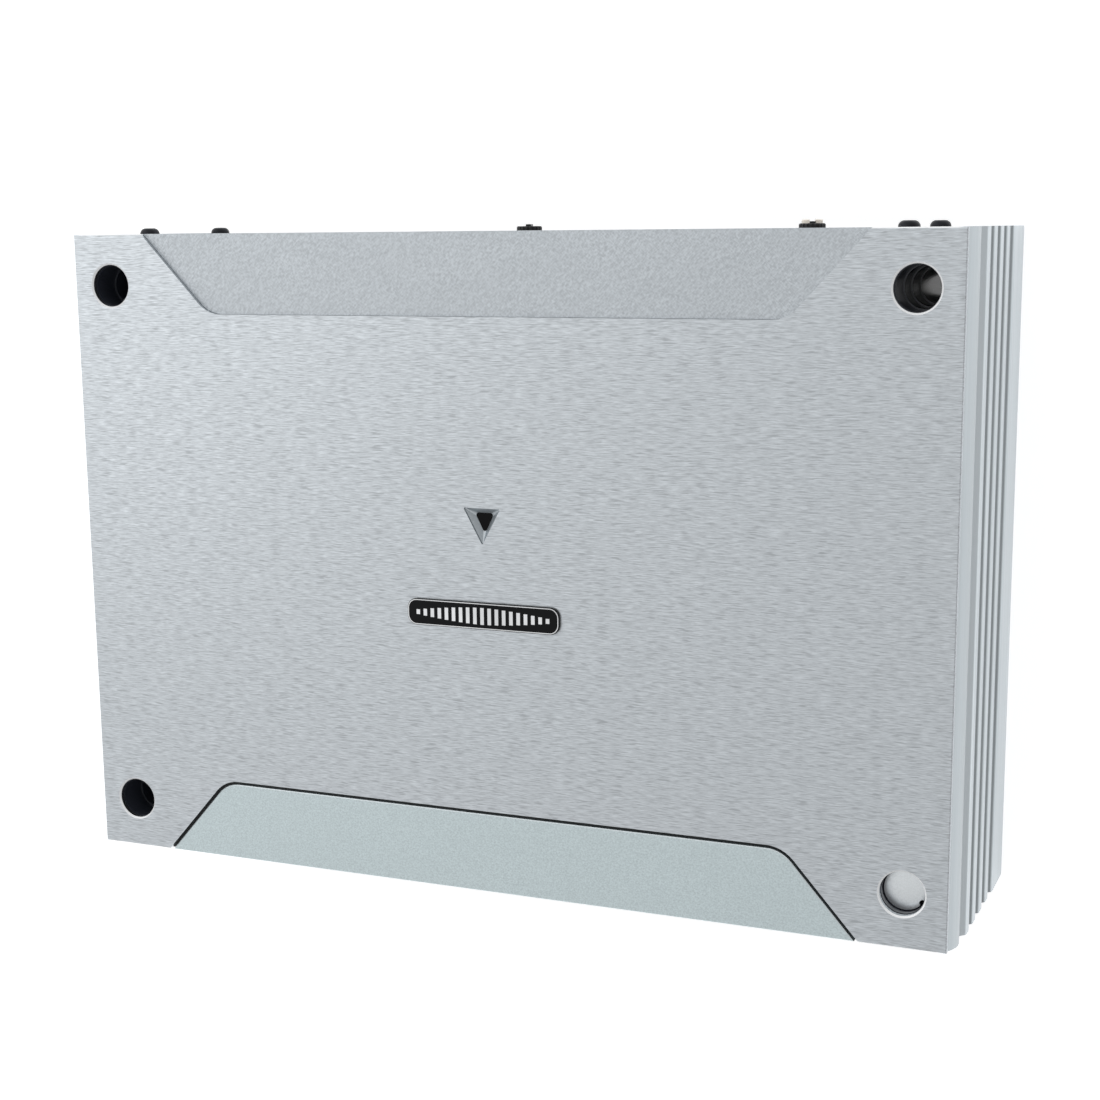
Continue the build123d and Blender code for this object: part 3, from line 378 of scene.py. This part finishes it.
def capacitor_can():
    """Printed sleeve with bare aluminium at the vented end."""
    sleeve = srgb(22, 26, 46)
    surface = Surface("capacitor_sleeve", sleeve, 0.34, coat=0.3)
    wrinkle = surface.noise((2.0, 2.0, 9.0), detail=2.0)
    low_end = surface.span(surface.place("Z", "Normal"), -0.97, -0.9, 1.0, 0.0)
    stripe = surface.span(surface.maths("ABSOLUTE", surface.place("X", "Normal")), 0.93, 0.95)
    tone = surface.blend(stripe, sleeve, srgb(196, 200, 206))
    surface.colour(surface.blend(low_end, tone, srgb(196, 198, 200)))
    surface.metal(low_end)
    surface.bump(wrinkle, 0.05, 0.4)
    return surface


def epoxy_device():
    """Black epoxy body with tinned legs above it."""
    surface = moulded("device_epoxy", srgb(28, 28, 29), 0.6)
    legs = surface.span(surface.place("Z"), *DEVICE_TOP_Z)
    surface.colour(surface.blend(legs, srgb(28, 28, 29), srgb(186, 186, 180)))
    surface.metal(legs)
    return surface


def blade_fuse():
    """Clear green body with zinc blades behind its seat."""
    surface = Surface("fuse_body", srgb(22, 128, 72), 0.18, coat=0.3, transmission=0.35)
    blades = surface.span(surface.place("Y"), *FUSE_SEAT_Y)
    haze = surface.noise((4.0, 4.0, 4.0), detail=2.0)
    tone = surface.blend(surface.span(haze, 0.3, 0.7), srgb(16, 112, 62), srgb(40, 150, 90))
    surface.colour(surface.blend(blades, tone, srgb(190, 192, 192)))
    surface.metal(blades)
    return surface


def clear_acrylic():
    surface = Surface("clear_acrylic", srgb(236, 240, 242), 0.12, transmission=0.9)
    ripple = surface.noise((1.5, 1.5, 6.0), detail=1.0)
    surface.bump(ripple, 0.01, 0.4)
    return surface


def smoked_window():
    surface = Surface("smoked_window", srgb(4, 4, 6), 0.2, specular=0.12)
    haze = surface.noise((1.2, 1.2, 1.2), detail=2.0)
    surface.rough(surface.span(haze, 0.3, 0.7, 0.26, 0.16))
    return surface


def satin_silver(name, colour, roughness):
    surface = Surface(name, colour, roughness, metallic=1.0)
    mist = surface.noise((0.3, 0.3, 0.3), detail=2.0, roughness=0.6)
    surface.colour(surface.blend(surface.span(mist, 0.3, 0.7), shade(colour, 0.94), shade(colour, 1.05)))
    surface.rough(surface.span(mist, 0.3, 0.7, roughness + 0.05, roughness - 0.04))
    surface.bump(mist, 0.006, 0.4)
    return surface


def plug_cap():
    """Spun satin silver, very slightly crowned about the corner hole's centre."""
    surface = satin_silver("plug_silver", srgb(230, 234, 236), 0.32)
    low, high = box_mm("sleeve_plug")
    middle = (low + high) / 2
    across = surface.maths("SUBTRACT", surface.place("X"), middle.x)
    along = surface.maths("SUBTRACT", surface.place("Y"), middle.y)
    squared = surface.maths("ADD", surface.maths("POWER", across, 2.0), surface.maths("POWER", along, 2.0))
    surface.bump(surface.span(squared, 0.0, 26.0, 1.0, 0.0), 0.35)
    return surface


def paper():
    """Plain pale sweep under the object, clear from below so that the underside can be looked at."""
    surface = Surface("studio_paper", srgb(250, 250, 250), 0.9, specular=0.1)
    surface.set("Emission Color", srgb(255, 255, 255))
    surface.set("Emission Strength", 0.5)
    fibre = surface.noise((1.2, 1.2, 1.2), detail=2.0)
    surface.bump(fibre, 0.02, 0.2)
    below = surface.tree.nodes.new("ShaderNodeNewGeometry")
    clear = surface.tree.nodes.new("ShaderNodeBsdfTransparent")
    mix = surface.tree.nodes.new("ShaderNodeMixShader")
    surface.link(below.outputs["Backfacing"], mix.inputs[0])
    surface.link(surface.shader.outputs["BSDF"], mix.inputs[1])
    surface.link(clear.outputs["BSDF"], mix.inputs[2])
    surface.link(mix.outputs["Shader"], surface.tree.nodes["Material Output"].inputs["Surface"])
    return surface


surfaces = {
    "heatsink_anodised": extruded_body(),
    "adhesive_black": moulded("adhesive_film", srgb(14, 14, 15), 0.5),
    "face_brushed": brushed_face(),
    "inlay_satin": satin_inlay(),
    "inlay_lower": lower_inlay(),
    "badge_black": moulded("badge_lacquer", srgb(8, 9, 11), 0.3, depth=0.004, specular=0.15),
    "bezel_grey": satin_silver("bezel_metallic", srgb(188, 194, 198), 0.42),
    "window_dark": smoked_window(),
    "light_pipe": clear_acrylic(),
    "panel_black": powder_coat(),
    "screw_black": plated("black_oxide_screw", srgb(46, 47, 50), 0.34),
    "cover_zinc": zinc_sheet(),
    "zinc_screw": plated("zinc_screw", srgb(196, 198, 196), 0.3),
    "sleeve_black": moulded("guide_plastic", srgb(50, 53, 62), 0.32, depth=0.004, coat=0.5, specular=0.5),
    "plug_silver": plug_cap(),
    "board_green": circuit_board(),
    "standoff_nickel": plated("nickel_pillar", srgb(200, 194, 180), 0.26),
    "core_coated": moulded("core_coating", srgb(58, 92, 76), 0.45, grain=1.2, depth=0.04),
    "copper_wire": copper_winding(),
    "capacitor_sleeve": capacitor_can(),
    "device_epoxy": epoxy_device(),
    "pad_grey": moulded("thermal_pad", srgb(150, 154, 158), 0.75, grain=0.8, depth=0.03),
    "clamp_steel": plated("clamp_steel", srgb(158, 160, 160), 0.4, scratch=(0.4, 6.0, 0.4)),
    "socket_black": moulded("socket_plastic", srgb(20, 20, 22), 0.42),
    "contact_nickel": plated("nickel_contact", srgb(212, 208, 198), 0.2),
    "insulator_white": moulded("white_nylon", srgb(226, 225, 216), 0.42),
    "contact_gold": plated("gold_contact", srgb(226, 184, 96), 0.22),
    "pot_body": moulded("control_body", srgb(38, 44, 62), 0.5),
    "terminal_black": moulded("terminal_plastic", srgb(19, 19, 20), 0.46, grain=0.5, depth=0.02),
    "bus_tin": plated("tinned_bar", srgb(200, 200, 196), 0.3),
    "terminal_nickel": plated("nickel_terminal", srgb(206, 202, 192), 0.24),
    "knob_black": moulded("knob_plastic", srgb(22, 22, 24), 0.4),
    "ivory_plastic": moulded("ivory_plastic", srgb(242, 232, 220), 0.42),
    "fuse_green": blade_fuse(),
}
special_surfaces = {"rca_insulators": red_and_white_rings()}


def dress_nodes():
    """Give every CAD node the surface of its material slot."""
    for name, node in nodes.items():
        slot = node.material_slots[0]
        surface = special_surfaces.get(name) or surfaces[slot.material.name]
        slot.material = surface.material


# ---------------------------------------------------------------- pieces
def new_piece(name, mesh, surface, body="chassis"):
    """Make an object from a bmesh drawn in millimetres and let it ride on a body."""
    bmesh.ops.scale(mesh, vec=(MM, MM, MM), verts=mesh.verts)
    bmesh.ops.recalc_face_normals(mesh, faces=mesh.faces)
    data = bpy.data.meshes.new(name)
    mesh.to_mesh(data)
    mesh.free()
    piece = bpy.data.objects.new(name, data)
    bpy.context.collection.objects.link(piece)
    data.materials.append(surface.material)
    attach(piece, body)


def add_bar(mesh, centre, size, angle=0.0, axis="Y"):
    """A small box turned about one axis through its centre."""
    turn = Matrix.Rotation(math.radians(angle), 4, axis)
    place = Matrix.Translation(centre) @ turn @ Matrix.Diagonal((*size, 1.0))
    bmesh.ops.create_cube(mesh, size=1.0, matrix=place)


def rounded_outline(width, height, radius, steps=8):
    """Points of a rounded rectangle about the origin."""
    points = []
    for quarter, (sx, sy) in enumerate(((1, 1), (-1, 1), (-1, -1), (1, -1))):
        for step in range(steps + 1):
            angle = math.radians(90 * quarter + 90 * step / steps)
            points.append((sx * (width / 2 - radius) + radius * math.cos(angle),
                           sy * (height / 2 - radius) + radius * math.sin(angle)))
    return points


badge_low, badge_high = box_mm("badge_plate")
control_panel_y = box_mm("control_end_panel")[1].y
power_panel_y = box_mm("power_end_panel")[0].y


def on_badge(u, v, height):
    """Place on the badge's top, from its middle."""
    return (badge_low.x + badge_high.x) / 2 + u, (badge_low.y + badge_high.y) / 2 + v, badge_high.z + height


def on_control_end(u, v, height):
    """Place on the control end's panel, with u along X and v along Z."""
    return u, control_panel_y + height, v


def on_power_end(u, v, height):
    """Place on the power end's panel, with u along X and v along Z."""
    return u, power_panel_y - height, v


def add_line(mesh, points, width, place, closed=False):
    """A printed line of even width through points (u, v) of the surface that place() describes."""
    count = len(points)
    rings = []
    for index, point in enumerate(points):
        before = Vector(points[index - 1] if closed or index else point)
        after = Vector(points[(index + 1) % count] if closed or index < count - 1 else point)
        along = (after - before).normalized() * width / 2
        edges = ((point[0] - along.y, point[1] + along.x), (point[0] + along.y, point[1] - along.x))
        corners = [(*edges[0], -PRINT_HEIGHT), (*edges[0], PRINT_HEIGHT),
                   (*edges[1], PRINT_HEIGHT), (*edges[1], -PRINT_HEIGHT)]
        rings.append([mesh.verts.new(place(*corner)) for corner in corners])
    for index in range(count if closed else count - 1):
        ring, following = rings[index], rings[(index + 1) % count]
        for step in range(4):
            after = (step + 1) % 4
            mesh.faces.new((ring[step], ring[after], following[after], following[step]))
    if not closed:
        mesh.faces.new(rings[0])
        mesh.faces.new(rings[-1])


def add_patch(mesh, points, place):
    """A filled printed shape."""
    top = [mesh.verts.new(place(u, v, PRINT_HEIGHT)) for u, v in points]
    bottom = [mesh.verts.new(place(u, v, -PRINT_HEIGHT)) for u, v in points]
    mesh.faces.new(top)
    mesh.faces.new(bottom)
    for step in range(len(points)):
        after = (step + 1) % len(points)
        mesh.faces.new((top[step], top[after], bottom[after], bottom[step]))


def circle(u, v, radius, steps=24, start=0.0, sweep=360.0):
    """Points of a circle, or of an arc when sweep is under 360."""
    span = steps if sweep == 360.0 else steps - 1
    angles = [math.radians(start + sweep * step / span) for step in range(steps)]
    return [(u + radius * math.cos(angle), v + radius * math.sin(angle)) for angle in angles]


def make_badge_trim():
    """Pale rim line and a plain row of level-meter bars on the badge."""
    rim_inset, rim_round, rim_width = 0.31, 2.2, 0.2
    bar_count, end_margin, bar_width = 19, 3.0, 0.95
    shortest, tallest = 1.2, 4.2
    width, height = badge_high.x - badge_low.x, badge_high.y - badge_low.y
    rim = bmesh.new()
    outline = rounded_outline(width - 2 * rim_inset, height - 2 * rim_inset, rim_round)
    add_line(rim, outline, rim_width, on_badge, closed=True)
    new_piece("badge_rim_line", rim, print_white)
    bars = bmesh.new()
    middle = (bar_count - 1) / 2
    pitch = (width - 2 * end_margin) / (bar_count - 1)
    for index in range(bar_count):
        away = abs(index - middle) / middle
        bar_height = shortest + (tallest - shortest) * (1 - away ** 1.6)
        u = (index - middle) * pitch
        add_line(bars, [(u, -bar_height / 2), (u, bar_height / 2)], bar_width, on_badge)
    new_piece("badge_level_bars", bars, print_white)


def knob_middle(knob):
    """Turning axis of a knob (x, z) and the y of its pointer's top."""
    low, high = box_mm("gain_knob")
    height = (low.z + high.z) / 2
    low, _ = box_mm(knob)
    return low.x + KNOB_RADIUS, height, high.y


def make_knob_prints():
    """Scale of ticks and a rising wedge round each knob, and a pale line on its pointer."""
    tick_count, tick_start, tick_end, long_tick_end, tick_width = 11, 4.4, 5.5, 6.2, 0.32
    long_ticks = (0, tick_count // 2, tick_count - 1)
    wedge_reach, wedge_drop, wedge_rise = 4.2, 8.6, 1.3
    pointer_reach, pointer_width, pointer_length = 1.1, 0.5, 2.6
    for knob in ("gain_knob", "filter_knob"):
        x, z, pointer_y = knob_middle(knob)
        scale = bmesh.new()
        for index in range(tick_count):
            angle = math.radians(KNOB_SWEEP * (index / (tick_count - 1) - 0.5))
            reach = long_tick_end if index in long_ticks else tick_end
            ends = [(x + far * math.sin(angle), z + far * math.cos(angle)) for far in (tick_start, reach)]
            add_line(scale, ends, tick_width, on_control_end)
        foot = z - wedge_drop
        wedge = [(x + wedge_reach, foot), (x - wedge_reach, foot), (x - wedge_reach, foot + wedge_rise)]
        add_patch(scale, wedge, on_control_end)
        new_piece(knob + "_scale", scale, print_white)
        line = bmesh.new()
        tilt = math.radians(KNOB_REST_ANGLE)
        middle = (x + pointer_reach * math.sin(tilt), pointer_y, z + pointer_reach * math.cos(tilt))
        add_bar(line, middle, (pointer_width, 2 * PRINT_HEIGHT, pointer_length), KNOB_REST_ANGLE)
        new_piece(knob + "_pointer_line", line, print_white, body=knob)


def picture_places(lever):
    """u of the pictures over a slide switch's two places, and their height v."""
    aside, above = 1.2, 5.6
    low, high = box_mm(lever)
    middle = (low + high) / 2
    return middle.x - aside, middle.x + SWITCH_TRAVEL + aside, middle.z + above


def make_switch_prints():
    """What each place of the slide switches does: a wave and its mirror, a flat and a falling response."""
    half, line_width, steps, level = 1.8, 0.3, 24, 0.5
    prints = bmesh.new()
    wave = []
    for step in range(steps + 1):
        turn = 2 * step / steps - 1
        wave.append((half * turn, math.sin(math.pi * turn)))
    right, left, height = picture_places("phase_switch_lever")
    add_line(prints, [(right + u, height + v) for u, v in wave], line_width, on_control_end)
    add_line(prints, [(left + u, height - v) for u, v in wave], line_width, on_control_end)
    right, left, _ = picture_places("filter_switch_lever")
    flat = [(right - half, height + level), (right + half, height + level)]
    falling = [(left + half, height + level), (left, height + level), (left - 0.6, height + 0.3),
               (left - 1.1, height - 0.2), (left - half, height - 1.1)]
    add_line(prints, flat, line_width, on_control_end)
    add_line(prints, falling, line_width, on_control_end)
    new_piece("switch_pictures", prints, print_white)


def make_group_lines():
    """Printed frames round the groups of controls on the control end."""
    margin, corner_round, line_width, drop = 9.5, 1.6, 0.28, 0.5
    frames = bmesh.new()
    filter_x, knob_z, _ = knob_middle("filter_knob")
    gain_x = knob_middle("gain_knob")[0]
    filter_group = (filter_x - 32.0, filter_x + margin)
    phase_group = (filter_x - 56.0, filter_x - 35.0)
    gain_group = (gain_x - margin, gain_x + margin)
    for u_low, u_high in (filter_group, phase_group, gain_group):
        middle = (u_low + u_high) / 2
        outline = rounded_outline(u_high - u_low, GROUP_HEIGHT, corner_round)
        points = [(u + middle, v + knob_z - drop) for u, v in outline]
        add_line(frames, points, line_width, on_control_end, closed=True)
    new_piece("control_group_lines", frames, print_white)


def make_terminal_prints():
    """Plus, minus, power, fuse and speaker symbols above the terminals and the fuses."""
    symbols = bmesh.new()

    def plus(u, v):
        add_line(symbols, [(u - 1.5, v), (u + 1.5, v)], 0.6, on_power_end)
        add_line(symbols, [(u, v - 1.5), (u, v + 1.5)], 0.6, on_power_end)

    def minus(u, v):
        add_line(symbols, [(u - 1.5, v), (u + 1.5, v)], 0.6, on_power_end)

    def switched_power(u, v):
        add_line(symbols, circle(u, v, 1.5, 20, 125, 290), 0.4, on_power_end)
        add_line(symbols, [(u, v + 0.3), (u, v + 1.9)], 0.4, on_power_end)

    height = box_mm("power_terminal_block")[1].z + 5.0
    for pole, draw in (("ground", minus), ("remote", switched_power), ("battery", plus),
                       ("speaker_plus", plus), ("speaker_minus", minus)):
        low, high = box_mm(pole + "_screw")
        draw((low.x + high.x) / 2, height)
    low, high = box_mm("speaker_terminal_block")
    u, v = (low.x + high.x) / 2, height
    add_patch(symbols, [(u - 1.9, v - 0.7), (u - 0.9, v - 0.7), (u - 0.9, v + 0.7), (u - 1.9, v + 0.7)],
              on_power_end)
    add_patch(symbols, [(u - 0.7, v - 0.7), (u + 0.7, v - 1.8), (u + 0.7, v + 1.8), (u - 0.7, v + 0.7)],
              on_power_end)
    add_line(symbols, circle(u, v, 2.0, 9, -45, 90), 0.35, on_power_end)
    low, high = box_mm("fuse_holder")
    v = high.z + 3.2
    outline = rounded_outline(5.0, 1.9, 0.3, 2)
    add_line(symbols, [(u_away, v + v_away) for u_away, v_away in outline], 0.3, on_power_end, closed=True)
    add_line(symbols, [(-4.2, v), (4.2, v)], 0.3, on_power_end)
    new_piece("terminal_symbols", symbols, print_white)


def make_jack_contacts():
    """Six sprung gilt wires that slope across the remote-level jack."""
    low, high = box_mm("remote_level_jack")
    middle = (low.x + high.x) / 2
    contacts = bmesh.new()
    for index in range(6):
        x = middle + (index - 2.5) * 1.02
        add_bar(contacts, (x, high.y - 5.2, high.z - 7.6), (0.42, 6.8, 0.22), 24, "X")
        add_bar(contacts, (x, high.y - 8.6, high.z - 9.3), (0.42, 0.22, 1.4), 0, "X")
    new_piece("remote_jack_contacts", contacts, surfaces["contact_gold"])


# ---------------------------------------------------------------- camera, light and floor
def make_camera():
    """Camera above the face, towards +X and the control end, as the object is seen standing on its end."""
    camera = bpy.data.objects.new("camera", bpy.data.cameras.new("camera"))
    bpy.context.collection.objects.link(camera)
    camera.location = [value * MM for value in (194.9, 82.3, 475.3)]
    camera.rotation_euler = [math.radians(angle) for angle in (-11.08, 22.94, -0.62)]
    camera.data.lens = 62.73
    camera.data.shift_x = -0.0016
    camera.data.shift_y = 0.0397
    bpy.context.scene.camera = camera


LIT_POINT = Vector((0.0, 0.0, 0.03))
FLOOR_SIZE = 20.0
WORLD_COLOUR = (0.985, 0.993, 1.0, 1.0)
WORLD_LEVEL = 0.72
WORLD_LEAN = (-0.26, 0.2, 0.0)  # added per unit of each direction


def make_light(name, place, size, power):
    """A soft square lamp aimed at the middle of the object."""
    lamp = bpy.data.lights.new(name, "AREA")
    lamp.shape = "SQUARE"
    lamp.size = size
    lamp.energy = power
    light = bpy.data.objects.new(name, lamp)
    light.location = place
    light.rotation_euler = (LIT_POINT - Vector(place)).to_track_quat("-Z", "Y").to_euler()
    bpy.context.collection.objects.link(light)


def make_studio():
    """Even pale surroundings, a little brighter towards -X and +Y, with two soft lamps and a floor."""
    world = bpy.data.worlds.new("studio")
    world.use_nodes = True
    tree = world.node_tree
    background = tree.nodes["Background"]
    background.inputs["Color"].default_value = WORLD_COLOUR
    direction = tree.nodes.new("ShaderNodeTexCoord")
    lean = tree.nodes.new("ShaderNodeVectorMath")
    lean.operation = "DOT_PRODUCT"
    lean.inputs[1].default_value = WORLD_LEAN
    level = tree.nodes.new("ShaderNodeMath")
    level.operation = "ADD"
    level.inputs[1].default_value = WORLD_LEVEL
    tree.links.new(direction.outputs["Generated"], lean.inputs[0])
    tree.links.new(lean.outputs["Value"], level.inputs[0])
    tree.links.new(level.outputs[0], background.inputs["Strength"])
    bpy.context.scene.world = world
    bpy.context.scene.view_settings.view_transform = "Standard"
    make_light("key", (-1.0, 0.6, 0.9), size=1.6, power=3.3)
    make_light("fill", (0.7, -0.2, 1.2), size=0.8, power=1.0)
    floor = bmesh.new()
    bmesh.ops.create_grid(floor, x_segments=1, y_segments=1, size=FLOOR_SIZE)
    data = bpy.data.meshes.new("floor")
    floor.to_mesh(data)
    floor.free()
    data.materials.append(floor_paper.material)
    ground = bpy.data.objects.new("floor", data)
    bpy.context.collection.objects.link(ground)


print_white = moulded("printed_white", srgb(232, 233, 234), 0.5, depth=0.004)
floor_paper = paper()

dress_nodes()
make_badge_trim()
make_knob_prints()
make_switch_prints()
make_group_lines()
make_terminal_prints()
make_jack_contacts()
make_camera()
make_studio()
